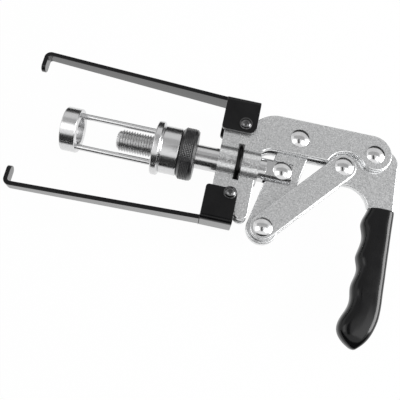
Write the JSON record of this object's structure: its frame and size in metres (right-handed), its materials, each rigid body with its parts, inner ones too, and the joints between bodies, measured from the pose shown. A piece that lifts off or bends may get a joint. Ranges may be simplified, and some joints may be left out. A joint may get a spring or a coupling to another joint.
{
  "type": "valve spring compressor",
  "caption": "Hand tool that grips a valve spring with hooked arms and presses its retainer with a cage on an over-centre lever and adjustable plunger",
  "frame": {"origin": "centre of the retainer cup's press face, on the plunger axis", "axes": "+X along the plunger axis from the cup to the handle, +Z square to the flat plates towards the screw heads, +Y from the grip side to the beam side"},
  "size_m": [0.2787, 0.1713, 0.04],
  "materials": {
    "zinc_plate": "bright zinc plated, faintly mottled",
    "polished_steel": "turned and bright nickel plated",
    "thread_steel": "cut thread, bright",
    "rivet_steel": "bright plated domed rivets",
    "black_steel": "satin black",
    "black_oxide": "black oxide fasteners",
    "knurled_black": "blackened, knurled rim",
    "grip_vinyl": "glossy dipped vinyl",
    "ring_rubber": "smooth black rubber"
  },
  "bodies": {
    "frame": {"frame_plate_front": "zinc_plate", "frame_plate_rear": "zinc_plate", "guide_o_ring": "ring_rubber", "lever_pivot_rivet": "rivet_steel", "handle_pivot_rivet": "rivet_steel", "upper_arm_screw": "black_oxide", "lower_arm_screw": "black_oxide", "upper_arm_nut": "black_oxide", "lower_arm_nut": "black_oxide", "upper_spacer": "zinc_plate", "lower_spacer": "zinc_plate"},
    "handle": {"handle_plate": "zinc_plate", "handle_grip": "grip_vinyl"},
    "link": {"link_front": "zinc_plate", "link_rear": "zinc_plate", "link_lever_rivet": "rivet_steel", "link_handle_rivet": "rivet_steel"},
    "lever": {"lever": "zinc_plate"},
    "plunger": {"plunger_rod": "polished_steel", "threaded_stud": "thread_steel", "fork_pin": "rivet_steel"},
    "cage": {"cage_hub": "polished_steel", "cage_rod_upper": "polished_steel", "cage_rod_lower": "polished_steel", "retainer_cup": "polished_steel"},
    "nut": {"knurled_nut": "knurled_black"},
    "upper_arm": {"upper_arm": "black_steel"},
    "lower_arm": {"lower_arm": "black_steel"}
  },
  "joints": [
    {"name": "handle_swing", "type": "hinge", "parent": "frame", "child": "handle", "pos_m": [0.2283, 0.0283, 0], "axis": [0, 0, 1], "range_deg": [0, 80]},
    {"name": "lever_swing", "type": "hinge", "parent": "frame", "child": "lever", "pos_m": [0.1714, 0.0285, 0], "axis": [0, 0, 1], "range_deg": [0, 18.6]},
    {"name": "link_swing", "type": "hinge", "parent": "handle", "child": "link", "pos_m": [0.2066, 0.0138, 0], "axis": [0, 0, 1], "range_deg": [-88.7, 0]},
    {"name": "plunger_slide", "type": "slide", "parent": "frame", "child": "plunger", "axis": [1, 0, 0], "range_m": [0, 0.00954]},
    {"name": "cage_reach", "type": "slide", "parent": "plunger", "child": "cage", "axis": [-1, 0, 0], "range_m": [0, 0.01805]},
    {"name": "nut_turn", "type": "hinge", "parent": "cage", "child": "nut", "pos_m": [0.093, 0, 0], "axis": [-1, 0, 0], "range_deg": [0, 3240]},
    {"name": "upper_arm_swing", "type": "hinge", "parent": "frame", "child": "upper_arm", "pos_m": [0.1299, 0.0289, 0], "axis": [0, 0, 1], "range_deg": [-10, 4]},
    {"name": "lower_arm_swing", "type": "hinge", "parent": "frame", "child": "lower_arm", "pos_m": [0.1287, -0.026, 0], "axis": [0, 0, 1], "range_deg": [-4, 10]}
  ],
  "couplings": [
    {"joint": "lever_swing", "follows": "handle_swing", "ratio": 0.2321},
    {"joint": "link_swing", "follows": "handle_swing", "ratio": -1.1077},
    {"joint": "plunger_slide", "follows": "handle_swing", "m_per_rad": 0.006829},
    {"joint": "cage_reach", "follows": "nut_turn", "m_per_rad": 0.00031831}
  ]
}
